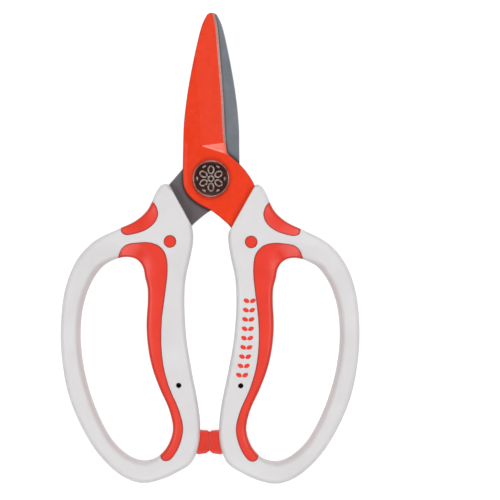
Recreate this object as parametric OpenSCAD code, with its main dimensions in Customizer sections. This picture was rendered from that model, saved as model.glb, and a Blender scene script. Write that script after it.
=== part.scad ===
// Floral snips: two one-piece blades with long tangs, moulded into nylon loop handles
// that carry soft grips, turning on one pivot bolt.
// Millimetres. The snips lie flat and closed: +Y runs to the tips, +X to the front half's
// handle, +Z out of the front face. The origin is on the pivot axis, on the resting plane.

/* [Blades] */
// Length from the pivot axis to the tips
blade_len = 65; // [60:0.5:72]
// Distance from the pivot axis to the blade's spine
spine_w = 11; // [10.5:0.1:11.6]
// Thickness of the steel
blade_t = 2.6; // [2:0.1:3]
// Gap between the two blades
blade_gap = 0.1; // [0.05:0.05:0.2]
// Slope of the ground face, in degrees
grind_angle = 12; // [8:0.5:13]
// Slope of the short facet where the ground face runs out, in degrees
runout_angle = 26; // [20:1:40]

/* [Handles] */
// Length from the pivot axis to the bottom of the loops
handle_len = 119; // [112:1:126]
// Distance from the centre line to the outermost point of a loop
handle_w = 58.5; // [56:0.5:62]
// Thickness of the handles
handle_t = 11.6; // [10.5:0.1:13]
// Rounding of the handles' edges
edge_r = 2; // [1:0.1:2.4]
// Distance by which the rear handle's mouth lies nearer to the pivot
rear_mouth_shift = 0.9; // [0:0.1:1.5]
// Diameter of the round plug through handle and tang
plug_d = 4.9; // [4:0.1:5.2]
// Diameter of the blind locating holes in the handles' faces
locating_d = 2; // [1.5:0.1:2.5]

/* [Grips] */
// Thickness of the nylon rib inside each grip
rib_t = 4; // [3:0.5:5]
// Depth of the soft layer over the rib, seen from the front
rib_cover = 2.4; // [1.8:0.1:3]

/* [Bumpers] */
// Thickness of the bumpers
bumper_t = 7; // [5:0.5:8]
// Distance of each bumper's face from the centre line, closed
bumper_gap = 0.05; // [0.02:0.01:0.1]

/* [Pivot] */
// Diameter of the bolt's shank
shank_d = 6; // [5:0.5:7]
// Radial clearance between the shank and the rear blade
pivot_clear = 0.05; // [0.02:0.01:0.1]
// Diameter of the bolt's head
head_d = 14.4; // [13:0.1:15]
// Height of the bolt's head
head_h = 2; // [1.5:0.1:2.5]
// Diameter of the nut
nut_d = 12.4; // [11:0.1:13]
// Thickness of the nut
nut_t = 2.15; // [2:0.05:2.3]

/* [Hidden] */
$fn = 64;

// Sizes at which the outlines below were drawn, and the scales to the sizes asked for
drawn_blade_len = 65;
drawn_spine_w = 11;
drawn_handle_len = 119;
drawn_handle_w = 58.5;
blade_scale = [spine_w / drawn_spine_w, blade_len / drawn_blade_len];
handle_scale = [handle_w / drawn_handle_w, handle_len / drawn_handle_len];

// Heights of the stack on the pivot
mid_z = handle_t / 2;
front_blade_z = mid_z + blade_gap / 2;
blade_top_z = front_blade_z + blade_t;
rear_back_z = mid_z - blade_gap / 2 - blade_t;
washer_play = 0.03;
flat_washer_t = 0.35;
flat_washer_z = rear_back_z - washer_play - flat_washer_t;
spring_washer_t = flat_washer_z - nut_t;
washer_d = 11;
washer_bore_d = shank_d + 0.3;

// Outline of a blade, from the tip down the spine to the handle's mouth and on down the tang
spine_pts = [[0.9, 65], [-1, 64.9], [-2.3, 63.6], [-4.4, 58.5], [-7.2, 46], [-9.4, 33.5], [-10.7, 22],
             [-11, 12], [-11, -0.5], [-9.8, -5], [-7.3, -8], [-4, -10.3], [0, -12.4], [3.5, -15],
             [8, -19.3], [9.8, -25], [11, -33], [12, -42], [12, -53], [11.2, -65], [9.6, -75],
             [9, -82.5]];
// From the tang's end up its outer side to the mouth and along the shank to the heel
tang_pts = [[10.8, -84.6], [13.6, -82], [15.6, -73], [16.8, -62], [16.6, -51], [15.4, -40],
            [16, -31], [19.5, -24.5], [19.9, -17], [19, -9], [17, -2.4], [15.2, 0.8], [12.9, 3.9],
            [9.6, 7.2], [6.1, 10.2]];
// Cutting edge from the heel to the tip
edge_pts = [[6.1, 10.2], [5.6, 15], [5.1, 22], [4.6, 31], [3.4, 46], [2.4, 57], [1.5, 64]];
// Two points on the ridge between the flat face and the ground face, which keeps its distance
// from the cutting edge, and the run-out's outer end
ridge_low = [-3.8, 12.8];
ridge_top = [-7.5, 57];
runout_end = [5.9, 9.8];
// Line along which the rear blade's shank is trimmed, seen from its own outer side
rear_trim = [[8.2, 7.3], [15.7, -1.4]];

// Outline of a handle, down the gap side, round the loop and back over the shoulder
handle_pts = [[9, -12.5], [7.4, -19], [6.9, -24], [8, -31], [9.8, -39.5], [10.2, -50], [9.3, -63],
              [7.2, -75.5], [4.9, -87], [3.8, -96], [4.2, -104], [7, -111], [12.5, -114.8],
              [19.5, -117.9], [27, -119], [35, -115.8], [43.5, -107.7], [50.5, -96.3], [55.4, -83.9],
              [57.9, -70], [58.3, -57], [56.8, -43.8], [52.4, -32.4], [45.6, -24.8], [37, -20.3],
              [29.5, -16.7], [24.5, -12], [21.3, -5.2], [18.3, -2.2], [12.8, -4.6]];
// Finger loop, one point opposite each of the outline's points
loop_pts = [[25.6, -38.5], [24.6, -42.5], [24.4, -46], [24.5, -50], [24.8, -54.5], [24.8, -60],
            [24, -67.5], [22.3, -74.8], [19.4, -82.5], [16, -90], [14.3, -97.5], [15.9, -103.8],
            [19.2, -108.2], [22.9, -110.2], [28, -110.2], [33.4, -107.3], [38.7, -101.8],
            [43.4, -93.2], [47.1, -83.6], [49.8, -72.5], [50.8, -61], [49.9, -50.5], [47, -41.5],
            [42.8, -35.1], [38.3, -32.1], [34, -30.8], [30.7, -31], [28.4, -32.1], [26.9, -33.8],
            [26, -36]];
// Outer border of the grip on the loop's inner wall, from its top end to its bottom end
grip_pts = [[36.8, -33.8], [35.3, -28.6], [33, -26.1], [29, -25.2], [24.3, -25], [20.1, -26.4],
            [17.4, -30], [16.7, -36], [17.5, -44.5], [18.7, -54], [19, -64], [18, -73.5], [15.6, -82],
            [12.1, -90], [10.3, -97.5], [11.6, -104], [14.4, -109], [17, -110.4], [19, -109],
            [19.5, -104]];
// Inside corner of the grip's cutter, out in the open loop
grip_inside = [34, -64];
// Inner border of the small grip on the shoulder, and a corner outside the handle
shoulder_pts = [[25, -7.9], [22.3, -9.6], [20.9, -11.9], [20.6, -14.5], [22, -17.6], [25.4, -20.3],
                [29.8, -21.8], [33, -22.2], [34.9, -21], [35.2, -17.4]];
shoulder_outside = [36, -8];
// The two ends of the front handle's mouth, where the blade goes in
mouth_top = [16.8, -3.4];
mouth_bottom = [8, -19.3];
plug_pos = [15.85, -24.65];
locating_pos = [12.1, -80.8];
locating_depth = 3.4;
// A bumper in its handle, from the gap's top down
bumper_pts = [[0, -99.2], [0.9, -98.6], [3.9, -98.4], [6, -99.5], [6, -107], [4.4, -107.8],
              [1.4, -107.4], [0, -106.4]];
bumper_stem_y = -102.8;
bumper_stem_end = 10;
bumper_stem_d = 2.6;
bumper_barb_d = 4;
bumper_barb_x = 8;

// One point of a uniform Catmull-Rom curve, t of the way from b to c
function between(a, b, c, d, t) =
    ((2 * b) + (c - a) * t + (2 * a - 5 * b + 4 * c - d) * t * t
     + (3 * b - a - 3 * c + d) * t * t * t) / 2;

// A closed smooth curve through the points p, with n steps between two points
function closed_curve(p, n) = [
    for (i = [0 : len(p) - 1], k = [0 : n - 1])
        between(p[(i + len(p) - 1) % len(p)], p[i], p[(i + 1) % len(p)], p[(i + 2) % len(p)], k / n)
];

// An open smooth curve through the points p, without its last point
function open_curve(p, n) = let (last = len(p) - 1) [
    for (i = [0 : last - 1], k = [0 : n - 1])
        between(i == 0 ? 2 * p[0] - p[1] : p[i - 1], p[i], p[i + 1],
                i + 1 == last ? 2 * p[last] - p[last - 1] : p[i + 2], k / n)
];

function scaled(p, s) = [for (q = p) [q[0] * s[0], q[1] * s[1]]];

// A closed ring of points moved sideways by d, to the left of its direction of travel
function inset(p, d) = [
    for (i = [0 : len(p) - 1])
        let (along = p[(i + 1) % len(p)] - p[(i + len(p) - 1) % len(p)])
            p[i] + d * [-along[1], along[0]] / norm(along)
];

function at_height(p, z) = [for (q = p) [q[0], q[1], z]];

// The solid between an outer and an inner ring of equally many points, with rounded edges.
// It is one tube whose section has three points on each of its four corners.
module rounded_loop(outer, inner, t, r) {
    n = len(outer);
    soft = r * (1 - cos(45));
    section = [[r, 0], [soft, soft], [0, r], [0, t - r], [soft, t - soft], [r, t]];
    rings = [
        for (s = section) at_height(inset(outer, s[0]), s[1]),
        for (k = [len(section) - 1 : -1 : 0]) at_height(inset(inner, -section[k][0]), section[k][1])
    ];
    m = len(rings);
    faces = [
        for (k = [0 : m - 1], i = [0 : n - 1])
            let (a = k * n + i, b = k * n + (i + 1) % n,
                 c = (k + 1) % m * n + (i + 1) % n, d = (k + 1) % m * n + i)
                each [[a, d, c], [a, c, b]]
    ];
    polyhedron(points = [for (ring = rings) each ring], faces = faces, convexity = 6);
}

// Puts a front-half shape into the rear half: half a turn about the Y axis at mid-thickness
module rear() {
    translate([0, 0, handle_t])
        rotate([0, 180, 0])
            children();
}

// Everything on the loop's side of a mouth line, shifted towards the pivot by shift
module behind_mouth(shift) {
    reach = 160;
    along = mouth_top - mouth_bottom;
    turn = atan2(along[1], along[0]);
    translate([mouth_bottom[0], mouth_bottom[1], -1])
        rotate([0, 0, turn])
            translate([-reach, -reach * 2 + shift, 0])
                cube([reach * 2, reach * 2, handle_t + 2]);
}

module handle_form(shift) {
    intersection() {
        rounded_loop(closed_curve(scaled(handle_pts, handle_scale), 3),
                     closed_curve(scaled(loop_pts, handle_scale), 3), handle_t, edge_r);
        behind_mouth(shift);
    }
}

// A blade's outline through the whole thickness of the steel
module blade_blank() {
    outline = concat(open_curve(scaled(spine_pts, blade_scale), 3),
                     open_curve(scaled(tang_pts, blade_scale), 3),
                     open_curve(scaled(edge_pts, blade_scale), 2));
    translate([0, 0, front_blade_z])
        linear_extrude(blade_t)
            polygon(outline);
}

// All that lies above a plane through the line from a to b, sloping down by angle
module above_slope(a, b, angle) {
    reach = 90;
    along = b - a;
    translate([a[0], a[1], blade_top_z])
        rotate([0, 0, atan2(along[1], along[0])])
            rotate([angle, 0, 0])
                translate([-reach, -reach, 0])
                    cube([reach * 2, reach * 2, 20]);
}

// What is ground off a blade's outer face, from the ridge down to the cutting edge
module grinding() {
    intersection() {
        above_slope(ridge_low, ridge_top, grind_angle);
        above_slope(ridge_low, runout_end, -runout_angle);
    }
}

module front_blade_shape() {
    difference() {
        blade_blank();
        grinding();
        translate([0, 0, front_blade_z - 1])
            cylinder(h = blade_t + 2, d = shank_d);
        translate([plug_pos[0], plug_pos[1], front_blade_z - 1])
            cylinder(h = blade_t + 2, d = plug_d);
    }
}

// Everything on the outer side of the line from a to b
module beyond(a, b) {
    reach = 30;
    along = b - a;
    translate([a[0], a[1], -1])
        rotate([0, 0, atan2(along[1], along[0])])
            translate([-2, 0, 0])
                cube([norm(along) + 4, reach, handle_t + 2]);
}

module rear_blade_shape() {
    difference() {
        rear()
            difference() {
                front_blade_shape();
                beyond(rear_trim[0], rear_trim[1]);
            }
        translate([0, 0, rear_back_z - 1])
            cylinder(h = blade_t + 2, d = shank_d + 2 * pivot_clear);
    }
}

// Plan of the whole handle, and of its finger loop, each moved out by d
module handle_plan(d) {
    offset(delta = d)
        polygon(closed_curve(scaled(handle_pts, handle_scale), 3));
}

module loop_plan(d) {
    offset(delta = d)
        polygon(closed_curve(scaled(loop_pts, handle_scale), 3));
}

module inner_grip_plan() {
    polygon(concat(open_curve(scaled(grip_pts, handle_scale), 3), [grip_inside]));
}

module shoulder_grip_plan() {
    polygon(concat(open_curve(scaled(shoulder_pts, handle_scale), 3), [shoulder_outside]));
}

// The room a grip takes up: its plan through the whole thickness, less the nylon rib,
// which stops short of the finger loop and of the handle's outside
module grip_room(rib_outer) {
    difference() {
        linear_extrude(handle_t)
            children();
        translate([0, 0, mid_z - rib_t / 2])
            linear_extrude(rib_t)
                difference() {
                    intersection() {
                        children();
                        handle_plan(-rib_outer);
                    }
                    loop_plan(rib_cover);
                }
    }
}

module inner_grip_room() {
    grip_room(rib_cover)
        inner_grip_plan();
}

module shoulder_grip_room() {
    grip_room(rib_cover)
        shoulder_grip_plan();
}

module plug_shape() {
    translate([plug_pos[0], plug_pos[1], 0])
        cylinder(h = handle_t, d = plug_d);
}

// Stem and barb that hold the bumper in its handle
module bumper_stem() {
    translate([bumper_pts[3][0] - 1, bumper_stem_y, mid_z])
        rotate([0, 90, 0])
            cylinder(h = bumper_stem_end - bumper_pts[3][0] + 1, d = bumper_stem_d);
    translate([bumper_barb_x, bumper_stem_y, mid_z])
        rotate([0, 90, 0])
            cylinder(h = bumper_stem_end - bumper_barb_x, d = bumper_barb_d);
}

module bumper_shape() {
    difference() {
        translate([0, 0, mid_z - bumper_t / 2])
            linear_extrude(bumper_t)
                polygon(bumper_pts);
        translate([bumper_gap - 10, -120, -1])
            cube([10, 40, handle_t + 2]);
    }
    bumper_stem();
}

module locating_holes() {
    for (z = [-1, handle_t - locating_depth])
        translate([locating_pos[0], locating_pos[1], z])
            cylinder(h = locating_depth + 1, d = locating_d);
}

module handle_shape(mouth_shift) {
    difference() {
        handle_form(mouth_shift);
        inner_grip_room();
        shoulder_grip_room();
        blade_blank();
        plug_shape();
        bumper_shape();
        locating_holes();
    }
}

module inner_grip_shape() {
    intersection() {
        handle_form(0);
        inner_grip_room();
    }
}

module shoulder_grip_shape() {
    intersection() {
        handle_form(0);
        shoulder_grip_room();
    }
}

module front_blade() {
    color("orangered")
        front_blade_shape();
}

module rear_blade() {
    color("slategray")
        rear_blade_shape();
}

module front_handle() {
    color("gainsboro")
        handle_shape(0);
}

module rear_handle() {
    color("gainsboro")
        rear()
            handle_shape(rear_mouth_shift);
}

module front_inner_grip() {
    color("tomato")
        inner_grip_shape();
}

module rear_inner_grip() {
    color("tomato")
        rear()
            inner_grip_shape();
}

module front_shoulder_grip() {
    color("tomato")
        shoulder_grip_shape();
}

module rear_shoulder_grip() {
    color("tomato")
        rear()
            shoulder_grip_shape();
}

module front_tang_plug() {
    color("tomato")
        plug_shape();
}

module rear_tang_plug() {
    color("tomato")
        rear()
            plug_shape();
}

module front_bumper() {
    color("firebrick")
        bumper_shape();
}

module rear_bumper() {
    color("firebrick")
        rear()
            bumper_shape();
}

// Round head with a raised rim, a centre boss and a ring of beads, on a plain shank
// whose end lies flush with the nut
module pivot_bolt() {
    rim_w = 0.8;
    recess = 0.5;
    boss_d = 4.4;
    bead_d = 1.7;
    bead_ring_r = 4.2;
    beads = 8;
    chamfer = 0.45;
    top = blade_top_z + head_h;
    color("dimgray") {
        cylinder(h = blade_top_z + 0.5, d = shank_d);
        difference() {
            translate([0, 0, blade_top_z])
                rotate_extrude()
                    polygon([[0, 0], [head_d / 2, 0], [head_d / 2, head_h - chamfer],
                             [head_d / 2 - chamfer, head_h], [0, head_h]]);
            translate([0, 0, top - recess])
                cylinder(h = recess + 1, d = head_d - 2 * chamfer - 2 * rim_w);
        }
        translate([0, 0, top - recess - 0.5])
            cylinder(h = recess + 0.4, d = boss_d);
        for (k = [0 : beads - 1])
            rotate([0, 0, k * 360 / beads])
                translate([bead_ring_r, 0, top - recess - 0.5])
                    cylinder(h = recess + 0.3, d = bead_d);
    }
}

// Thin round nut with a chamfered rear edge and two slots for a pin spanner
module pivot_nut() {
    chamfer = 0.4;
    slot_w = 1.6;
    slot_depth = 0.8;
    slot_len = 2.2;
    color("silver")
        difference() {
            rotate_extrude()
                polygon([[0, 0], [nut_d / 2 - chamfer, 0], [nut_d / 2, chamfer],
                         [nut_d / 2, nut_t], [0, nut_t]]);
            translate([0, 0, -1])
                cylinder(h = nut_t + 2, d = shank_d);
            for (side = [-1, 1])
                translate([side * nut_d / 2 - slot_len / 2, -slot_w / 2, -1])
                    cube([slot_len, slot_w, slot_depth + 1]);
        }
}

// Shallow dished washer that keeps the blades pressed together
module spring_washer() {
    foot = 0.35;
    color("darkgray")
        translate([0, 0, nut_t])
            rotate_extrude()
                polygon([[washer_bore_d / 2, spring_washer_t - foot],
                         [washer_bore_d / 2, spring_washer_t],
                         [washer_bore_d / 2 + 0.6, spring_washer_t],
                         [washer_d / 2, foot], [washer_d / 2, 0], [washer_d / 2 - 0.6, 0]]);
}

module flat_washer() {
    color("silver")
        translate([0, 0, flat_washer_z])
            difference() {
                cylinder(h = flat_washer_t, d = washer_d);
                translate([0, 0, -1])
                    cylinder(h = flat_washer_t + 2, d = washer_bore_d);
            }
}

front_blade();
front_handle();
front_inner_grip();
front_shoulder_grip();
front_tang_plug();
front_bumper();
rear_blade();
rear_handle();
rear_inner_grip();
rear_shoulder_grip();
rear_tang_plug();
rear_bumper();
pivot_bolt();
pivot_nut();
spring_washer();
flat_washer();
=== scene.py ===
import math

import bmesh
import bpy
import numpy as np
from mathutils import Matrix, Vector
from mathutils.geometry import delaunay_2d_cdt


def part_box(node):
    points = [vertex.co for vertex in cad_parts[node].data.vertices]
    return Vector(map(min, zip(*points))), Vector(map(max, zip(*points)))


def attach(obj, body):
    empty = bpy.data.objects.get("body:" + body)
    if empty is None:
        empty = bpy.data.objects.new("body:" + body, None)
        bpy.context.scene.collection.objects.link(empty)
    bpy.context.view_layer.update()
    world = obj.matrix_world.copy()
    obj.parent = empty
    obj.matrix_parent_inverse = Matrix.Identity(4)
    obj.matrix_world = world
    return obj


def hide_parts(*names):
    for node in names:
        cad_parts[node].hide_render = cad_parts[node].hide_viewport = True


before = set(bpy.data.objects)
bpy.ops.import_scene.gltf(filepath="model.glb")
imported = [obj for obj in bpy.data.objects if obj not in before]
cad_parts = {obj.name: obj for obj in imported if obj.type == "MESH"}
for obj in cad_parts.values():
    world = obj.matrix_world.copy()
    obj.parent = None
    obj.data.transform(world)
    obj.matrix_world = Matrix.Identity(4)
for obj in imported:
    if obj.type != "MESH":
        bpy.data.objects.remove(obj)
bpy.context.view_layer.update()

MM = 0.001
SHORTEST = 0.05     # points of a CAD outline closer together than this count as one
LONG_EDGE = 9       # edges longer than this stay straight


# ---------------------------------------------------------------- plan outlines from the frame

def mm_box(node):
    """Lowest and highest corner of a CAD node, in millimetres."""
    low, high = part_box(node)
    return np.array(low) / MM, np.array(high) / MM


def section(node, z):
    """The closed outlines in which the plane at height z cuts a CAD node, largest first."""
    bm = bmesh.new()
    bm.from_mesh(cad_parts[node].data)
    bmesh.ops.remove_doubles(bm, verts=bm.verts, dist=1e-7)
    bmesh.ops.bisect_plane(bm, geom=bm.verts[:] + bm.edges[:] + bm.faces[:],
                           plane_co=(0, 0, z * MM), plane_no=(0, 0, 1),
                           clear_inner=True, clear_outer=True)
    loops, seen = [], set()
    for start in bm.verts:
        if start in seen:
            continue
        loop, at = [], start
        while at is not None:
            seen.add(at)
            loop.append((at.co.x / MM, at.co.y / MM))
            at = next((e.other_vert(at) for e in at.link_edges if e.other_vert(at) not in seen), None)
        loops.append(np.array(loop))
    bm.free()
    return sorted(loops, key=lambda p: -abs(area(p)))


def area(p):
    """Area inside a closed outline, positive where it runs counter-clockwise."""
    x, y = p[:, 0], p[:, 1]
    return 0.5 * float(np.sum(x * np.roll(y, -1) - y * np.roll(x, -1)))


def thinned(p, shortest):
    """An outline without points closer together than shortest."""
    keep = [0]
    for i in range(1, len(p)):
        if np.linalg.norm(p[i] - p[keep[-1]]) > shortest:
            keep.append(i)
    if np.linalg.norm(p[keep[-1]] - p[0]) <= shortest:
        keep.pop()
    return p[keep]


def turns(p):
    """The angle that a closed outline turns through at each point, in degrees."""
    a, b = p - np.roll(p, 1, 0), np.roll(p, -1, 0) - p
    return np.degrees(np.arctan2(a[:, 0] * b[:, 1] - a[:, 1] * b[:, 0], (a * b).sum(1)))


def curve_through(p, step, closed):
    """Points a step apart on a smooth curve through the points p."""
    q = np.vstack([p[-1:], p, p[:2]]) if closed else np.vstack([2 * p[0] - p[1], p, 2 * p[-1] - p[-2]])
    dense = []
    for a, b, c, d in zip(q[:-3], q[1:-2], q[2:-1], q[3:]):
        ab, bc, cd = (max(np.linalg.norm(v), 1e-6) for v in (b - a, c - b, d - c))
        slope_b = ((c - b) / bc * ab + (b - a) / ab * bc) / (ab + bc) * bc
        slope_c = ((d - c) / cd * bc + (c - b) / bc * cd) / (bc + cd) * bc
        t = np.linspace(0, 1, max(3, int(bc / step * 4)), endpoint=False)[:, None]
        dense.append(b + t * slope_b + t**2 * (3 * (c - b) - 2 * slope_b - slope_c)
                     + t**3 * (2 * (b - c) + slope_b + slope_c))
    dense = np.vstack(dense + [q[-2:-1]])
    run = np.concatenate([[0], np.cumsum(np.linalg.norm(np.diff(dense, axis=0), axis=1))])
    count = max(2, int(round(run[-1] / step)) + 1)
    at = np.linspace(0, run[-1], count)
    return np.stack([np.interp(at, run, dense[:, k]) for k in (0, 1)], 1)


def bent(p):
    """An outline without the points at which it hardly turns."""
    return p[np.abs(turns(p)) > 0.15]


def smooth_outline(p, step, corner=30):
    """A closed outline as an even, smooth, counter-clockwise one. It keeps its corners sharper
    than corner degrees, and the ends of its long straight edges."""
    p = bent(thinned(p if area(p) > 0 else p[::-1], SHORTEST))
    long_edge = np.linalg.norm(np.roll(p, -1, 0) - p, axis=1) > LONG_EDGE
    corners = np.nonzero((np.abs(turns(p)) > corner) | long_edge | np.roll(long_edge, 1))[0]
    if len(corners) == 0:
        return curve_through(p, step, True)[:-1]
    p = np.roll(p, -corners[0], 0)
    ends = list(corners - corners[0]) + [len(p)]
    p = np.vstack([p, p[:1]])
    return np.vstack([curve_through(p[a:b + 1], step, False)[:-1] for a, b in zip(ends, ends[1:])])


# ---------------------------------------------------------------- plane geometry

def inside(points, outline):
    """Which points lie inside a closed outline."""
    hit = np.zeros(len(points), bool)
    x, y = points[:, 0], points[:, 1]
    for (ax, ay), (bx, by) in zip(outline, np.roll(outline, -1, 0)):
        if ay == by:
            continue
        crosses = (ay > y) != (by > y)
        hit ^= crosses & (x < (bx - ax) * (y - ay) / (by - ay) + ax)
    return hit


def within(points, loops):
    """Which points lie inside the first outline and outside all the others."""
    ok = inside(points, loops[0])
    for hole in loops[1:]:
        ok &= ~inside(points, hole)
    return ok


def segments(line, closed=True):
    """The straight pieces of a line of points, as their starts and ends."""
    a, b = line, np.roll(line, -1, 0)
    return np.stack([a, b] if closed else [a[:-1], b[:-1]], 1)


def all_segments(loops):
    return np.concatenate([segments(p) for p in loops])


def distance(points, pieces):
    """Distance from each point to the nearest of many straight pieces."""
    a, ab = pieces[:, 0], pieces[:, 1] - pieces[:, 0]
    length = np.maximum((ab * ab).sum(1), 1e-12)
    out = np.empty(len(points))
    batch = 400
    for s in range(0, len(points), batch):
        ap = points[s:s + batch, None, :] - a[None]
        t = np.clip((ap * ab).sum(2) / length, 0, 1)
        out[s:s + batch] = np.sqrt(((ap - t[:, :, None] * ab) ** 2).sum(2).min(1))
    return out


def shifted(line, d, closed):
    """A line of points moved sideways by d, to the left of its direction."""
    if closed:
        along = np.roll(line, -1, 0) - np.roll(line, 1, 0)
    else:
        along = np.gradient(line, axis=0)
    along = along / np.maximum(np.linalg.norm(along, axis=1), 1e-9)[:, None]
    return line + d * np.stack([-along[:, 1], along[:, 0]], 1)


def inner_rings(outline, depths):
    """Points at each depth inside a counter-clockwise outline, or outside it for minus depths."""
    rings = []
    for d in depths:
        ring = shifted(outline, d, True)
        rings.append(ring[distance(ring, segments(outline)) > abs(d) * 0.985])
    return np.vstack(rings)


def rings_along(loops, depths, hole_depths):
    """Points at each depth inside the first outline, and round the holes, which are the others."""
    rings = [inner_rings(loops[0], depths)]
    rings += [inner_rings(hole, [-d for d in hole_depths]) for hole in loops[1:]]
    return np.vstack(rings)


def grid_points(outline, step):
    """A triangular grid over an outline's box."""
    low, high = outline.min(0), outline.max(0)
    rows = []
    for k, y in enumerate(np.arange(low[1], high[1], step * 0.87)):
        x = np.arange(low[0] + (k % 2) * step / 2, high[0], step)
        rows.append(np.stack([x, np.full(len(x), y)], 1))
    return np.vstack(rows)


def triangles(loops, lines, loose):
    """Triangulates loose points, closed loops and open lines, and returns points and triangles."""
    points, edges = [], []
    for line, closed in [(p, True) for p in loops] + [(p, False) for p in lines]:
        first = sum(len(p) for p in points)
        n = len(line)
        edges += [(first + i, first + (i + 1) % n) for i in range(n if closed else n - 1)]
        points.append(line)
    points.append(loose)
    flat = [Vector(p) for p in np.vstack(points)]
    at, _, faces, _, _, _ = delaunay_2d_cdt(flat, edges, [], 0, 1e-5)
    return np.array([tuple(v) for v in at]), np.array([f for f in faces if len(f) == 3])


def filled(loops, lines, loose):
    """Triangulates a plan from its loops, its open lines and those loose points that lie in it."""
    points, faces = triangles(loops, lines, loose[within(loose, loops)])
    return points, faces[within(points[faces].mean(1), loops)]


# ---------------------------------------------------------------- meshes

def border_edges(faces):
    """The edges that only one triangle uses, in its direction."""
    directed = dict.fromkeys((f[i], f[(i + 1) % 3]) for f in faces for i in range(3))
    return [(a, b) for a, b in directed if (b, a) not in directed]


def slab(name, points, faces, top, bottom, turned=False, parting=None, **layers):
    """A closed mesh between two height fields over the same triangles of the plan. A turned
    one gets half a turn about the Y axis at the handles' mid-thickness. Parting says where a
    mould's parting line stands proud round the middle of its walls. A layer is a vertex
    attribute, as its values on the top and on the bottom."""
    used = np.unique(faces)
    index = np.full(len(points), -1)
    index[used] = np.arange(len(used))
    faces = index[faces]
    p = points[used]
    a, b, c = p[faces[:, 0]], p[faces[:, 1]], p[faces[:, 2]]
    clockwise = (b - a)[:, 0] * (c - a)[:, 1] - (b - a)[:, 1] * (c - a)[:, 0] < 0
    faces[clockwise] = faces[clockwise][:, ::-1]
    n = len(p)
    co = np.vstack([np.column_stack([p, top[used]]), np.column_stack([p, bottom[used]])])
    border = border_edges(faces)
    rows = [np.arange(n), np.arange(n, 2 * n)]
    if parting is not None:
        extra = parting_rows(p, border, co, parting[used])
        rows = [rows[0]] + [np.arange(n) + (2 + k) * n for k in range(len(extra))] + [rows[1]]
        co = np.vstack([co] + extra)
    if turned:
        co = co * (-1, 1, -1) + (0, 0, THICK)
    walls = [(u[b], u[a], v[a], v[b]) for u, v in zip(rows, rows[1:]) for a, b in border]
    polys = [tuple(f) for f in faces] + [tuple(f[::-1] + n) for f in faces] + walls
    keep = np.unique(np.concatenate([np.ravel(f) for f in polys]))
    index = np.full(len(co), -1)
    index[keep] = np.arange(len(keep))
    obj = mesh_object(name, co[keep] * MM, [index[list(f)] for f in polys])
    for layer, (above, below) in layers.items():
        data = obj.data.attributes.new(layer, "FLOAT", "POINT").data
        values = np.zeros(len(co))
        values[:2 * n] = np.concatenate([above[used], below[used]])
        data.foreach_set("value", values[keep].astype(np.float32))
    return obj


PARTING = ((0.22, 0), (0.07, 0.06), (-0.07, 0.06), (-0.22, 0))     # heights and widths


def parting_rows(p, border, co, where):
    """Rows of points round a wall's mid-height, which make a fine ridge where wanted."""
    n = len(p)
    out = np.zeros((n, 2))
    for a, b in border:
        along = (p[b] - p[a]) / max(np.linalg.norm(p[b] - p[a]), 1e-9)
        out[a] += (along[1], -along[0])
        out[b] += (along[1], -along[0])
    out /= np.maximum(np.linalg.norm(out, axis=1), 1e-9)[:, None]
    middle = (co[:n, 2] + co[n:, 2]) / 2
    return [np.column_stack([p + out * (proud * where)[:, None], middle + rise])
            for rise, proud in PARTING]


SHARP = 40          # edges that turn by more degrees than this stay hard


def mesh_object(name, co, polys):
    """A smooth-shaded mesh object."""
    mesh = bpy.data.meshes.new(name)
    mesh.from_pydata([tuple(map(float, v)) for v in co], [], [tuple(map(int, f)) for f in polys])
    mesh.validate()
    mesh.update()
    mesh.shade_smooth()
    mesh.set_sharp_from_angle(angle=math.radians(SHARP))
    obj = bpy.data.objects.new(name, mesh)
    bpy.context.scene.collection.objects.link(obj)
    return obj


# ---------------------------------------------------------------- node materials

def srgb(r, g, b):
    """A colour given as 0 to 255 display values, as the linear colour that shaders take."""
    def linear(v):
        v = v / 255
        return v / 12.92 if v <= 0.04045 else ((v + 0.055) / 1.055) ** 2.4
    return (linear(r), linear(g), linear(b), 1)


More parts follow.
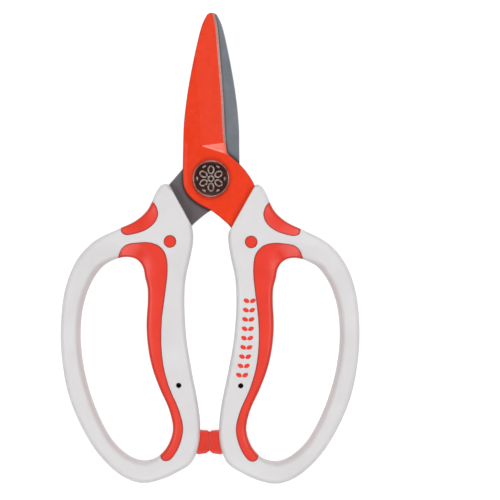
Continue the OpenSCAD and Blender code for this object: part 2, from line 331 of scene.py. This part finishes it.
class Nodes:
    """Short ways to add and join the nodes of one material."""

    def __init__(self, name, **sockets):
        self.material = bpy.data.materials.new(name)
        self.material.use_nodes = True
        self.tree = self.material.node_tree
        self.shader = self.tree.nodes["Principled BSDF"]
        for socket, value in sockets.items():
            self.shader.inputs[socket.replace("_", " ")].default_value = value
        self.place = self.add("ShaderNodeTexCoord").outputs["Object"]

    def add(self, kind, **values):
        node = self.tree.nodes.new(kind)
        for key, value in values.items():
            setattr(node, key, value)
        return node

    def link(self, a, b):
        self.tree.links.new(a, b)

    def stretched(self, sx, sy, sz):
        """Object coordinates with each axis scaled."""
        mapping = self.add("ShaderNodeMapping")
        mapping.inputs["Scale"].default_value = (sx, sy, sz)
        self.link(self.place, mapping.inputs["Vector"])
        return mapping.outputs["Vector"]

    def noise(self, scale, detail=3, roughness=0.55, vector=None):
        node = self.add("ShaderNodeTexNoise")
        node.inputs["Scale"].default_value = scale
        node.inputs["Detail"].default_value = detail
        node.inputs["Roughness"].default_value = roughness
        self.link(vector or self.place, node.inputs["Vector"])
        return node.outputs["Fac"]

    def spread(self, value, low, high, at=(0.3, 0.7)):
        """A 0 to 1 value mapped onto low to high."""
        node = self.add("ShaderNodeMapRange")
        node.inputs["From Min"].default_value, node.inputs["From Max"].default_value = at
        node.inputs["To Min"].default_value, node.inputs["To Max"].default_value = low, high
        self.link(value, node.inputs["Value"])
        return node.outputs["Result"]

    def mix(self, factor, a, b):
        """A colour between a and b, each a colour or another node's output."""
        node = self.add("ShaderNodeMix", data_type="RGBA")
        self.link(factor, node.inputs[0])
        for socket, value in ((node.inputs[6], a), (node.inputs[7], b)):
            if isinstance(value, tuple):
                socket.default_value = value
            else:
                self.link(value, socket)
        return node.outputs[2]

    def attribute(self, name):
        return self.add("ShaderNodeAttribute", attribute_name=name).outputs["Fac"]

    def bumps(self, *layers):
        """Bump from (value, depth in millimetres) pairs, one over the other."""
        normal = None
        for value, depth in layers:
            bump = self.add("ShaderNodeBump")
            bump.inputs["Strength"].default_value = 1
            bump.inputs["Distance"].default_value = depth * MM
            self.link(value, bump.inputs["Height"])
            if normal is not None:
                self.link(normal, bump.inputs["Normal"])
            normal = bump.outputs["Normal"]
        self.link(normal, self.shader.inputs["Normal"])

    def set(self, socket, output):
        self.link(output, self.shader.inputs[socket])


def coated_steel():
    """Red-orange non-stick coating: satin, faintly mottled, with painted shade darkening it along its
    rounded rims.
    """
    m = Nodes("coated_steel", IOR=1.33)
    mottle = m.noise(420, 4)
    tint = m.mix(m.spread(mottle, 0, 1), srgb(223, 48, 4), srgb(230, 55, 8))
    streaks = m.noise(900, 2, vector=m.stretched(1, 0.05, 1))
    # The rim attribute darkens the coating towards a dark brown-red: painted shade on the rounded rims,
    # which face away from the light
    m.set("Base Color", m.mix(m.attribute("rim"), tint, srgb(112, 36, 24)))
    m.set("Roughness", m.spread(streaks, 0.36, 0.48))
    m.bumps((m.noise(3200, 2), 0.006), (streaks, 0.004))
    return m.material


def lit_runout_coat():
    """Coating over the facet where the grinding runs out: smoother, and painted a lighter pink as a
    painted highlight where that facet catches the light.
    """
    m = Nodes("lit_runout_coat", IOR=1.6)
    lines = m.noise(1600, 2, vector=m.stretched(0.1, 1, 1))
    # Lighter pink than the rest of the coating: painted highlight on the sloping run-out facet
    m.set("Base Color", m.mix(m.spread(lines, 0, 1), srgb(243, 98, 78), srgb(249, 114, 92)))
    m.set("Roughness", m.spread(lines, 0.3, 0.4))
    m.bumps((lines, 0.004))
    return m.material


def ground_edge():
    """Bare steel of the whetted edge, a little stained by the coating beside it."""
    m = Nodes("ground_edge", Metallic=0.55, IOR=1.9)
    lines = m.noise(2600, 2, vector=m.stretched(0.06, 1, 1))
    m.set("Base Color", m.mix(m.spread(lines, 0, 1), srgb(186, 132, 124), srgb(214, 170, 160)))
    m.set("Roughness", m.spread(lines, 0.34, 0.5))
    m.bumps((lines, 0.004))
    return m.material


def blade_steel():
    """Bare grey steel, with a fine grain along the blade and faint cloudy stains."""
    m = Nodes("blade_steel", Metallic=0.45, IOR=1.7)
    grain = m.noise(1500, 3, vector=m.stretched(1, 0.03, 1))
    clouds = m.noise(150, 3)
    base = m.mix(m.spread(clouds, 0, 1), srgb(101, 107, 114), srgb(115, 121, 127))
    along = m.add("ShaderNodeSeparateXYZ")
    m.link(m.place, along.inputs["Vector"])
    shank = m.spread(along.outputs["Y"], 1, 0, (-2 * MM, 9 * MM))
    base = m.mix(shank, base, srgb(92, 84, 88))
    base = m.mix(m.attribute("rim"), base, srgb(150, 154, 158))
    # Painted shadow: the dark line on the flat face where the other blade lies on this one
    m.set("Base Color", m.mix(m.attribute("grime"), base, srgb(26, 20, 24)))
    m.set("Roughness", m.spread(grain, 0.38, 0.56))
    m.bumps((grain, 0.006), (m.noise(2500, 2), 0.003))
    return m.material


def nylon():
    """Pale grey moulded nylon: satin, with a fine spark-eroded grain."""
    m = Nodes("nylon", IOR=1.5, Subsurface_Weight=0.06, Subsurface_Scale=0.002)
    m.shader.inputs["Subsurface Radius"].default_value = (1, 0.8, 0.7)
    clouds = m.noise(60, 3)
    base = m.mix(m.spread(clouds, 0, 1), srgb(210, 207, 208), srgb(216, 214, 215))
    # Painted shade: near black on the walls of the locating hole
    m.set("Base Color", m.mix(m.attribute("grime"), base, srgb(30, 28, 28)))
    grain = m.noise(2600, 3, 0.6)
    m.set("Roughness", m.spread(grain, 0.4, 0.52))
    m.bumps((grain, 0.012), (m.noise(350, 2), 0.01))
    return m.material


def soft_red(name, dark, light):
    """Soft moulded elastomer: matt, with a fine leathery grain."""
    m = Nodes(name, IOR=1.5, Sheen_Weight=0.06, Sheen_Roughness=0.5)
    clouds = m.noise(90, 3)
    base = m.mix(m.spread(clouds, 0, 1), srgb(*dark), srgb(*light))
    # Painted shade along the grips' rounded outer edges, and a darker line along their seams
    m.set("Base Color", m.mix(m.attribute("grime"), base, srgb(132, 30, 30)))
    grain = m.noise(2200, 4, 0.65)
    m.set("Roughness", m.spread(grain, 0.34, 0.46))
    m.bumps((grain, 0.02), (m.noise(500, 2), 0.012))
    return m.material


def dark_steel():
    """Dark polished steel of the bolt's head."""
    m = Nodes("dark_steel", Metallic=0.75, IOR=1.8)
    clouds = m.noise(700, 3)
    m.set("Base Color", m.mix(m.spread(clouds, 0, 1), srgb(50, 17, 13), srgb(76, 32, 26)))
    m.set("Roughness", m.spread(m.noise(2400, 2), 0.24, 0.36))
    m.bumps((m.noise(1800, 3), 0.006))
    return m.material


def rim_steel():
    """The bolt's turned rim, duller than the relief."""
    m = Nodes("rim_steel", Metallic=0.8, IOR=1.9)
    scuffs = m.noise(900, 3)
    m.set("Base Color", m.mix(m.spread(scuffs, 0, 1), srgb(132, 100, 92), srgb(176, 142, 132)))
    m.set("Roughness", m.spread(scuffs, 0.3, 0.42))
    m.bumps((m.noise(2400, 2), 0.003))
    return m.material


def bright_relief():
    """Raised steel of the bolt's head, polished bright."""
    m = Nodes("bright_relief", Metallic=0.85, IOR=2.0)
    scuffs = m.noise(1300, 3)
    m.set("Base Color", m.mix(m.spread(scuffs, 0, 1), srgb(222, 206, 196), srgb(244, 232, 224)))
    m.set("Roughness", m.spread(scuffs, 0.22, 0.34))
    m.bumps((m.noise(2400, 2), 0.003))
    return m.material


def plated_steel():
    """Bright plated steel of the nut and the washers, with turning marks."""
    m = Nodes("plated_steel", Metallic=0.9, IOR=2.0)
    rings = m.add("ShaderNodeTexWave", wave_type="RINGS", rings_direction="Z")
    rings.inputs["Scale"].default_value = 900
    m.link(m.place, rings.inputs["Vector"])
    clouds = m.noise(500, 3)
    m.set("Base Color", m.mix(m.spread(clouds, 0, 1), srgb(168, 170, 172), srgb(196, 198, 200)))
    m.set("Roughness", m.spread(clouds, 0.26, 0.4))
    m.bumps((rings.outputs["Fac"], 0.004))
    return m.material


def table_top():
    """Plain pale surface under the snips."""
    m = Nodes("table_top", Roughness=0.85, IOR=1.3)
    m.set("Base Color", m.mix(m.noise(8, 2), srgb(142, 142, 142), srgb(146, 146, 146)))
    m.shader.inputs["Emission Color"].default_value = (1, 1, 1, 1)
    m.shader.inputs["Emission Strength"].default_value = 0.84
    return m.material


MATERIALS = {
    "coated_steel": coated_steel(), "ground_edge": ground_edge(), "blade_steel": blade_steel(),
    "nylon": nylon(), "soft_grip": soft_red("soft_grip", (223, 43, 20), (231, 51, 26)),
    "bumper_rubber": soft_red("bumper_rubber", (209, 36, 10), (217, 44, 15)),
    "dark_steel": dark_steel(), "bright_relief": bright_relief(), "plated_steel": plated_steel(),
    "rim_steel": rim_steel(), "lit_runout_coat": lit_runout_coat(),
}


def finish_piece(obj, body, slot, nodes, materials=None):
    """Gives a piece its materials, by default just the one that slot names, its body, and hides the CAD
    nodes it stands for.
    """
    for name in materials or [slot]:
        obj.data.materials.append(MATERIALS[name])
    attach(obj, body)
    if nodes:
        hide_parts(*nodes)


# ---------------------------------------------------------------- handles, grips and plugs

THICK = mm_box("front_handle")[1][2]
SECTION_Z = 2.15    # height at which the handles' pieces are cut for their outlines
OUTER_R = 1.8       # rounding of the handles' outer edges
LOOP_R = 2.7        # width of the rounding of the edges round the finger loops
LOOP_DEPTH = 3.9    # and its depth
EDGE_ANGLES = (10, 20, 30, 40, 50, 62, 75, 90)
GRIP_LOOP_R = 1.5   # width and depth of that rounding on the grip
FIRM_FROM = 7       # how far from the grips the nylon's rounding has its full size
CROWN = 0.55        # how far the faces fall towards their silhouettes
CROWN_W = 6         # and how far in from them that starts
SEAM_R = 0.18       # rounding at a seam: of the nylon, of a grip and of a plug
SOFT_SEAM_R = 0.3
PLUG_R = 0.42
SEAM_W = 0.7        # width of the darker line along a soft piece's seam, and how dark it is
SEAM_DARK = 0.9
EDGE_SHADE_W = 1.0      # width of the painted shade along a grip's rounded outer edges, and how dark it is
EDGE_SHADE = 0.5
MOUTH_R = 0.5
PLAN_STEP = 0.7     # distance between a plan's points along its outline, and inside it
GRID_STEP = 1.2
# Places, in the front half, where the faces slope more and the edges are tighter, each as its
# centre and its reach
SLOPES = (((30, -17.5), 10), ((31, -29.5), 7))
SLOPE_DEPTH = 2.1
SLOPE_TIGHTENS = 0.55
SMALL_LOOP = 40     # area below which an outline is a hole's or a plug's, with finer steps
SMALL_STEP = 0.25
TOUCH = 0.1         # outlines closer together than this share a seam
ON_LINE = 0.02      # and points this close to an outline lie on it


def half_section(half, part, z):
    """Outlines of a part of a half, with either half seen as the front one is from the front."""
    if half == "front":
        return section(f"front_{part}", z)
    return [p * (-1, 1) for p in section(f"rear_{part}", THICK - z)]


def rounding(d, r):
    """How far a quarter-round edge of radius r lies below the face, d in from the edge."""
    inset = np.clip(r - d, 0, r)
    return r - np.sqrt(r * r - inset * inset)


def handle_drop(points, outer_rim, loop_rim, seams, mouth, seam_r, to_grips):
    """How far a handle's face lies below its highest level."""
    to_outer, to_loop = distance(points, outer_rim), distance(points, loop_rim)
    d = np.minimum(to_outer, to_loop)
    sloped = sum(np.exp(-((points - centre) ** 2).sum(1) / reach**2) for centre, reach in SLOPES)
    sloped = np.clip(sloped, 0, 1)
    tighter = 1 - SLOPE_TIGHTENS * sloped
    firm = np.clip(to_grips / FIRM_FROM, 0, 1)
    loop_r = tighter * (GRIP_LOOP_R + (LOOP_R - GRIP_LOOP_R) * firm)
    loop_depth = tighter * (GRIP_LOOP_R + (LOOP_DEPTH - GRIP_LOOP_R) * firm)
    drop = np.maximum(rounding(to_outer, OUTER_R * tighter),
                      rounding(to_loop, loop_r) * loop_depth / loop_r)
    inward = 1 - np.clip(d / CROWN_W, 0, 1)
    drop = drop + (1 - sloped) * CROWN * inward**2 + sloped * SLOPE_DEPTH * inward**1.15
    drop = drop + rounding(distance(points, seams), seam_r)
    return drop + rounding(distance(points, mouth), MOUTH_R)


def plan_of(loops, depths):
    """Triangles of a piece's plan, whose first loop is its outline and the others its holes."""
    loose = rings_along(loops, depths, depths)
    grid = grid_points(loops[0], GRID_STEP)
    clear = max(depths) + GRID_STEP * 0.4
    grid = grid[distance(grid, all_segments(loops)) > clear]
    return filled(loops, [], np.vstack([loose, grid]))


def handle_pieces(half):
    """The nylon, the two grips and the plug of one half, over one common height field."""
    raw = {part: half_section(half, part, SECTION_Z)
           for part in ("handle", "inner_grip", "shoulder_grip", "tang_plug")}
    smooth = {part: [smooth_outline(p, PLAN_STEP if abs(area(p)) > SMALL_LOOP else SMALL_STEP)
                     for p in loops]
              for part, loops in raw.items()}
    edges = segments(bent(thinned(raw["handle"][0], SHORTEST)))
    mouth = edges[np.argmax(np.linalg.norm(edges[:, 1] - edges[:, 0], axis=1))][None]
    # The nylon's first loop is its outside and its second one runs round the finger loop
    outer_rim, loop_rim, seams = [mouth[:0]], [mouth[:0]], [mouth[:0]]
    for part, loops in smooth.items():
        others = all_segments([p for k, v in smooth.items() if k != part for p in v])
        for k, loop in enumerate(loops):
            pieces = segments(loop)
            middle = pieces.mean(1)
            joined = (distance(middle, others) < TOUCH) | (abs(area(loop)) < SMALL_LOOP)
            free = ~joined & (distance(middle, mouth) > TOUCH)
            seams.append(pieces[joined])
            (loop_rim if part == "inner_grip" or k == 1 else outer_rim).append(pieces[free])
    outer_rim, loop_rim, seams = (np.concatenate(v) for v in (outer_rim, loop_rim, seams))
    soft = all_segments([smooth["inner_grip"][0], smooth["shoulder_grip"][0]])
    rims = [LOOP_R * (1 - math.cos(math.radians(a))) for a in EDGE_ANGLES]
    kinds = {"handle": ("nylon", SEAM_R), "inner_grip": ("soft_grip", SOFT_SEAM_R),
             "shoulder_grip": ("soft_grip", SOFT_SEAM_R), "tang_plug": ("soft_grip", PLUG_R)}
    for part, loops in smooth.items():
        slot, seam_r = kinds[part]
        depths = sorted([seam_r * 0.25, seam_r * 0.6, seam_r, SEAM_W] + rims * (part != "tang_plug"))
        points, faces = plan_of(loops, depths)
        to_grips = distance(points, soft) * (part == "handle")
        drop = handle_drop(points, outer_rim, loop_rim, seams, mouth, seam_r, to_grips)
        to_rims = np.minimum(distance(points, outer_rim), distance(points, loop_rim))
        walls = to_rims < ON_LINE
        # The nylon's last loop is its locating hole, whose walls get painted shade to look dark inside
        grime = distance(points, segments(smooth["handle"][-1])) < ON_LINE
        # On the grips: painted shade along their rounded outer edges, and a darker line along their seams
        if part != "handle":
            grime = np.maximum(SEAM_DARK * (1 - np.clip(distance(points, seams) / SEAM_W, 0, 1)),
                               EDGE_SHADE * (1 - np.clip(to_rims / EDGE_SHADE_W, 0, 1)))
        obj = slab(f"{half}_{part}_form", points, faces, THICK - drop, drop, half == "rear",
                   None if part == "tang_plug" else walls.astype(float), grime=(grime, grime))
        finish_piece(obj, f"{half}_half", slot, [f"{half}_{part}"])


# ---------------------------------------------------------------- blades

LAND_W = 0.85       # width of the whetted land along the cutting edge
EDGE_T = 0.15       # steel left at the cutting edge
SPINE_R = 0.4       # rounding of the outer face's rims, and of the flat face's
FLAT_R = 0.12
SPINE_BEVEL = 1.6   # width of the bevel along the spine, down to the pivot
LOWER_BEVEL = 1.1   # and from there to the mouth
SPINE_BEVEL_TOP = 30
CHOIL_BEVEL = 0.6   # width of the bevel between the heel and the mouth
CHOIL_TOP = 9.6
MOUTH_Y = -19.5     # lowest point of the mouth
BEVEL_SLOPE = 0.36
COVERED_Y = -26     # the steel below this lies in the nylon
SECTION_LIFT = 0.06
BLADE_STEP = 0.6
HOLE_STEP = 0.3
GRID_CLEAR = 0.9    # room left between the outline and the plan's even grid
SHADOW_LINE_W = 0.9         # width of the painted shadow line where the other blade rests
SHADOW_LINE_FADE = ((10, 16), (1, 0.6))     # heights between which it fades, and its strengths there


def sloping_planes(node):
    """The planes of a node's two largest sloping facets, each as a point and its normal."""
    found = {}
    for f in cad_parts[node].data.polygons:
        if 0.8 < f.normal.z < 0.995:
            key = tuple(round(v, 2) for v in f.normal)
            size, at, normal = found.get(key, (0, f.center / MM, f.normal))
            found[key] = (size + f.area, np.array(at), np.array(normal))
    return [v[1:] for v in sorted(found.values(), key=lambda v: -v[0])[:2]]


def plane_height(points, at, normal):
    """Height of a plane over each point."""
    return at[2] - ((points - at[:2]) * normal[:2]).sum(1) / normal[2]


def ray(start, direction, outline):
    """Points from start in a direction, until just outside the outline."""
    unit = np.array(direction[:2]) / np.linalg.norm(direction[:2])
    run = start + unit * np.arange(0, 90, 0.5)[:, None]
    out = np.nonzero(~inside(run[1:], outline))[0]
    return run[:out[0] + 2] if len(out) else run


def spine_bevel(points):
    """Width of the spine's bevel beside each point: it fades out towards the tip."""
    fade = np.clip((SPINE_BEVEL_TOP - points[:, 1]) / 9, 0, 1)
    lower = np.clip(-points[:, 1] / 4, 0, 1)
    return fade * (SPINE_BEVEL + (LOWER_BEVEL - SPINE_BEVEL) * lower)


def in_order(outline, chosen):
    """The chosen run of an outline's points, starting at its first one."""
    start = np.nonzero(chosen & ~np.roll(chosen, 1))[0][0]
    return np.roll(outline, -start, 0)[np.roll(chosen, -start)]


def crease_lines(outline, planes, face):
    """Three lines from the point where both ground planes meet the face: the ridge up to the
    tip, the run-out's lower border, and the fold between the two planes down to the heel."""
    (at_a, normal_a), (at_b, normal_b) = planes
    rows = np.array([normal_a, normal_b, (0, 0, 1)])
    apex = np.linalg.solve(rows, [normal_a @ at_a, normal_b @ at_b, face])[:2]
    up = np.array([-normal_a[1], normal_a[0]])
    across = np.array([-normal_b[1], normal_b[0]])
    fold = np.cross(normal_a, normal_b)
    return [ray(apex, up * np.sign(up[1]), outline),
            ray(apex, across * np.sign(across[0]), outline),
            ray(apex, fold * np.sign(fold[0]), outline)]


def whetted_edge(outline, heel):
    """The points of the cutting edge, from the heel up."""
    x, y = outline.T
    points = outline[(y > heel[1]) & (x > 0) & (y < y.max() - 0.2)]
    return points[np.argsort(points[:, 1])]


def bevelled_runs(outline):
    """The bevelled parts of a blade's outline: the spine and round the pivot to the mouth, and
    the choil."""
    x, y = outline.T
    spine_side = x + 0.9 * y < 1.2
    bevelled = (y < SPINE_BEVEL_TOP) & (y > MOUTH_Y)
    return (in_order(outline, bevelled & spine_side),
            in_order(outline, bevelled & ~spine_side & (y < CHOIL_TOP)))


def shadow_line_points(outline, other, edges):
    """Points beside the other blade's outline, where it lies on this blade and its painted shadow line
    runs.
    """
    offsets = (-SHADOW_LINE_W, -SHADOW_LINE_W / 2, 0, SHADOW_LINE_W / 2, SHADOW_LINE_W)
    points = np.vstack([shifted(smooth_outline(other, BLADE_STEP), d, True) for d in offsets])
    return points[inside(points, outline) & (distance(points, edges) > 0.3) & (points[:, 1] > -25)]


def blade_top(points, outline, planes, face, flat, edge, heel):
    """Height of a blade's outer face, and how far each point is from the spine's side."""
    top = np.minimum(face, np.maximum(*(plane_height(points, *plane) for plane in planes)))
    land = flat + EDGE_T
    land = land + (top - land) * np.clip(distance(points, edge) / LAND_W, 0, 1)
    top = np.where(points[:, 1] > heel[1] - 0.3, land, top)
    spine = segments(outline)
    to_spine = distance(points, spine[distance(spine.mean(1), edge) > 0.05])
    for line, width in zip(bevelled_runs(outline), (spine_bevel(points), CHOIL_BEVEL)):
        top = top - BEVEL_SLOPE * np.clip(width - distance(points, segments(line, False)), 0, 2)
    return np.maximum(top - rounding(to_spine, SPINE_R), flat + EDGE_T), to_spine


def blade_piece(half):
    """One blade with its tang: ground face, run-out, whetted land, bevelled spine and shank."""
    low, high = mm_box("front_blade")
    flat, face = low[2], high[2]
    loops = [smooth_outline(p, BLADE_STEP if abs(area(p)) > 60 else HOLE_STEP)
             for p in half_section(half, "blade", flat + SECTION_LIFT)]
    other_half = "rear" if half == "front" else "front"
    other = half_section(other_half, "blade", flat + SECTION_LIFT)[0] * (-1, 1)
    outline, edges = loops[0], all_segments(loops)

    planes = sloping_planes("front_blade")
    lines = crease_lines(outline, planes, face)
    heel = lines[2][-1]
    whetted = whetted_edge(outline, heel)
    edge = segments(whetted, False)
    land_line = shifted(whetted, LAND_W, False)
    lines += [land_line, np.array([whetted[0], land_line[0]])]
    spine_run, choil_run = bevelled_runs(outline)
    for run, width in ((spine_run, spine_bevel(spine_run)),
                       (choil_run, np.full(len(choil_run), CHOIL_BEVEL))):
        lines.append(run + (shifted(run, 1, False) - run) * width[:, None])

    depths = (0.05, 0.12, 0.25, SPINE_R)
    grid = grid_points(outline, GRID_STEP)
    grid = grid[distance(grid, edges) > GRID_CLEAR]
    loose = [rings_along(loops, depths, depths[:2]), grid, shadow_line_points(outline, other, edges)]
    points, faces = filled(loops, lines, np.vstack(loose))

    top, to_spine = blade_top(points, outline, planes, face, flat, edge, heel)
    bottom = flat + rounding(distance(points, segments(outline)), FLAT_R) * (distance(points, edge) > 0.3)
    # Painted shade on the coating's rounded rims; on the bare steel the same value makes the rims lighter
    rim = np.clip(1 - to_spine / 0.4, 0, 1) * 0.8
    # Painted shadow: a dark line on each flat face where the other blade's rim rests on it
    grime = np.clip(1 - distance(points, segments(other)) / SHADOW_LINE_W, 0, 1)
    grime = grime * np.interp(points[:, 1], *SHADOW_LINE_FADE)
    obj = slab(f"{half}_blade_form", points, faces, top, bottom, half == "rear",
               rim=(rim, rim), grime=(0 * grime, grime))
    slot = "coated_steel" if half == "front" else "blade_steel"
    finish_piece(obj, f"{half}_half", slot, [f"{half}_blade"],
                 [slot, "ground_edge", "dark_steel", "lit_runout_coat"])

    # Which of those four materials each triangle has, on the top and again on the bottom
    centres = points[faces].mean(1)
    height_a, height_b = (plane_height(centres, *plane) for plane in planes)
    on_land = (distance(centres, edge) < LAND_W) & (centres[:, 1] > heel[1]) & (half == "front")
    runs_out = (height_b < face) & (height_b > height_a) & (centres[:, 1] > 5) & (half == "front")
    # The covered tang gets the bolt's dark steel: painted shade seen down the locating holes
    covered = centres[:, 1] < COVERED_Y
    place = np.where(covered, 2, np.where(on_land, 1, np.where(runs_out, 3, 0)))
    for f in obj.data.polygons:
        if len(f.vertices) == 3:
            f.material_index = int(place[f.index % len(place)])


# ---------------------------------------------------------------- pivot bolt

def lathe(name, profile, sides=96):
    """A closed turned piece, from (radius, height) points that start and end on the axis."""
    rings = profile[1:-1]
    co = [(0, 0, profile[0][1])]
    for r, z in rings:
        for k in range(sides):
            angle = 2 * math.pi * k / sides
            co.append((r * math.cos(angle), r * math.sin(angle), z))
    co.append((0, 0, profile[-1][1]))
    polys = []
    for k in range(sides):
        nxt = (k + 1) % sides
        polys.append((0, 1 + nxt, 1 + k))
        for i in range(len(rings) - 1):
            a, b = 1 + i * sides, 1 + (i + 1) * sides
            polys.append((a + k, a + nxt, b + nxt, b + k))
        last = 1 + (len(rings) - 1) * sides
        polys.append((last + k, last + nxt, len(co) - 1))
    return mesh_object(name, np.array(co) * MM, polys)


def oval(cx, cy, rx, ry, turn, n=40):
    """An ellipse's outline round (cx, cy), turned by turn degrees about the origin."""
    t = np.linspace(0, 2 * math.pi, n, endpoint=False)
    x, y = cx + rx * np.cos(t), cy + ry * np.sin(t)
    c, s = math.cos(math.radians(turn)), math.sin(math.radians(turn))
    return np.stack([c * x - s * y, s * x + c * y], 1)


SUNK = 0.25         # how deep a raised mark's foot lies in the piece under it


def raised(name, loops, floor_z, height, soft=0.1):
    """A low pad with softened edges, inside its first loop and outside the others."""
    depths = (soft * 0.3, soft)
    points, faces = filled(loops, [], rings_along(loops, depths, depths))
    base = np.full(len(points), floor_z)
    top = base + height - rounding(distance(points, all_segments(loops)), soft) * height / soft
    return slab(name, points, faces, top, base - SUNK)


SHANK_R = 3
RIM_W = 0.5
RECESS = 0.45       # how far the dark disc lies below the rim
RELIEF_H = 0.38
PETALS = 6


def pivot_pieces():
    """The bolt's dark head, with a turned rim and a generic rosette in low relief."""
    low, high = mm_box("pivot_bolt")
    head_r, top = high[0], high[2]
    under = mm_box("front_blade")[1][2]
    wall = head_r - RIM_W
    bolt = lathe("pivot_bolt_form", [
        (0, low[2]), (SHANK_R - 0.3, low[2]), (SHANK_R, low[2] + 0.3), (SHANK_R, under),
        (head_r - 0.25, under), (head_r, under + 0.25),
        (head_r, top - 0.5), (head_r - 0.15, top - 0.2), (head_r - 0.35, top - 0.08),
        (wall, top - 0.08), (wall - 0.05, top - 0.12), (wall - 0.3, top - RECESS + 0.05),
        (wall - 0.5, top - RECESS), (1.2, top - RECESS), (0, top - RECESS)])
    finish_piece(bolt, "front_half", "dark_steel", ["pivot_bolt"])
    rim = [oval(0, 0, r, r, 0, 120) for r in (head_r - 0.1, wall - 0.02)]
    rim = raised("bolt_rim", rim, top - 0.18, 0.18)
    finish_piece(rim, "front_half", "dark_steel", [], ["rim_steel"])
    reliefs = {"bolt_centre": [oval(0, 0, r, r, 0) for r in (1.35, 0.7)]}
    for k in range(PETALS):
        turn = (k + 0.5) * 360 / PETALS
        petal = [oval(3.4, 0, 1.75 - inset, 1.35 - inset, turn) for inset in (0, 0.6)]
        reliefs[f"bolt_petal_{k + 1}"] = petal
        reliefs[f"bolt_dash_{k + 1}"] = [oval(5.35, 0, 0.4, 0.85, turn + 180 / PETALS, 24)]
    for name, loops in reliefs.items():
        piece = raised(name, loops, top - RECESS, RELIEF_H, 0.16)
        finish_piece(piece, "front_half", "dark_steel", [], ["bright_relief"])


# ---------------------------------------------------------------- bumpers

BUMPER_R = 0.6


def bumper_piece(half):
    """The soft stop at the foot of a handle, with rounded rims."""
    low, high = mm_box(f"{half}_bumper")
    loops = [smooth_outline(half_section(half, "bumper", low[2] + 0.5)[0], 0.3, corner=25)]
    rims = [BUMPER_R * (1 - math.cos(math.radians(a))) for a in (20, 40, 60, 90)]
    points, faces = plan_of(loops, rims)
    drop = rounding(distance(points, segments(loops[0])), BUMPER_R)
    obj = slab(f"{half}_bumper_form", points, faces, high[2] - drop, low[2] + drop, half == "rear")
    finish_piece(obj, f"{half}_half", "bumper_rubber", [f"{half}_bumper"])


# ---------------------------------------------------------------- marks on the right handle

# A row of small raised sprigs down the front handle's face, along a line through these places
SPRIG_ROW = np.array([(15.4, -48.2), (14.9, -55.5), (14.5, -63.0), (13.7, -70.5), (12.6, -77.2)])
SPRIG_PITCH = 3.7
LEAF_L = 2.5
LEAF_W = 1.7
LEAF_H = 0.06
LEAF_TURN = 28
LEAF_GAP = 0.12     # how far each leaf starts from the row's line


def leaf(root, turn):
    """The outline of a leaf that grows from root at turn degrees."""
    t = np.linspace(0, math.pi, 11)
    side = np.stack([LEAF_L / 2 * (1 - np.cos(t)), LEAF_W / 2 * np.sin(t) ** 1.2], 1)
    p = np.vstack([side[:-1], (side * (1, -1))[::-1][:-1]])[::-1]
    c, s = math.cos(math.radians(turn)), math.sin(math.radians(turn))
    return p @ np.array([(c, s), (-s, c)]) + root


def sprig_marks():
    """The row of leaf pairs."""
    line = curve_through(SPRIG_ROW, SPRIG_PITCH, False)
    for k, root in enumerate(line):
        for side, turn in (("left", 180 - LEAF_TURN), ("right", LEAF_TURN)):
            outline = leaf(root + (LEAF_GAP * math.cos(math.radians(turn)), 0), turn)
            mark = raised(f"leaf_{k + 1}_{side}", [outline], THICK, LEAF_H, 0.12)
            finish_piece(mark, "front_half", "soft_grip", [])


for half in ("front", "rear"):
    handle_pieces(half)
    blade_piece(half)
    bumper_piece(half)
pivot_pieces()
sprig_marks()

# CAD nodes that keep their own meshes get the better material
for node in ("pivot_nut", "spring_washer", "flat_washer"):
    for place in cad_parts[node].material_slots:
        place.link = "OBJECT"
        place.material = MATERIALS["plated_steel"]


# ---------------------------------------------------------------- floor, light and camera

FLOOR_Z = -0.05
FLOOR_REACH = 900
FLOOR_CELLS = 24
FLOOR_FLAT = 0.6            # share of the reach within which the floor is flat
FLOOR_RISE = 180
LIGHT_AIM = (0, -27, 0)
WORLD_LIGHT = 0.1
VIEW_AT = (15.4, -27.8)     # what the middle of the picture shows
VIEW_H = 1200
VIEW_W = 195                # width of what the picture shows, at the snips
VIEW_ROLL = 0.33
SENSOR = 36


def floor_mesh():
    """A wide floor, flat under the snips and gently rising far from them."""
    n = FLOOR_CELLS
    at = np.linspace(-1, 1, n + 1)
    co, polys = [], []
    for y in at:
        for x in at:
            rise = FLOOR_RISE * max(0, math.hypot(x, y) - FLOOR_FLAT) ** 2
            co.append((x * FLOOR_REACH, y * FLOOR_REACH, FLOOR_Z + rise))
    for j in range(n):
        for i in range(n):
            a = j * (n + 1) + i
            polys.append((a, a + 1, a + n + 2, a + n + 1))
    return mesh_object("table_top", np.array(co) * MM, polys)


def soft_light(name, x, y, z, size, watts):
    """A round light, aimed at the snips."""
    data = bpy.data.lights.new(name, "AREA")
    data.shape = "DISK"
    data.size = size * MM
    data.energy = watts
    obj = bpy.data.objects.new(name, data)
    obj.location = Vector((x, y, z)) * MM
    towards = Vector(LIGHT_AIM) * MM - obj.location
    obj.rotation_euler = towards.to_track_quat("-Z", "Y").to_euler()
    bpy.context.scene.collection.objects.link(obj)


floor = floor_mesh()
floor.data.materials.append(table_top())
soft_light("far_end", 80, 650, 950, 600, 5.6)
soft_light("near_end", 0, -700, 950, 450, 4.7)
soft_light("right_side", 700, 0, 950, 400, 3.25)
soft_light("left_side", -700, 0, 950, 400, 3.6)

world = bpy.data.worlds.new("studio")
world.use_nodes = True
sky = world.node_tree.nodes["Background"]
sky.inputs["Color"].default_value = (1, 1, 1, 1)
sky.inputs["Strength"].default_value = WORLD_LIGHT
bpy.context.scene.world = world
bpy.context.scene.view_settings.view_transform = "Standard"

lens = bpy.data.cameras.new("camera")
lens.sensor_width = SENSOR
lens.lens = SENSOR * (VIEW_H - THICK) / VIEW_W
lens.clip_start = 0.05
camera = bpy.data.objects.new("camera", lens)
camera.location = Vector((VIEW_AT[0], VIEW_AT[1], VIEW_H)) * MM
camera.rotation_euler = (0, 0, math.radians(VIEW_ROLL))
bpy.context.scene.collection.objects.link(camera)
bpy.context.scene.camera = camera
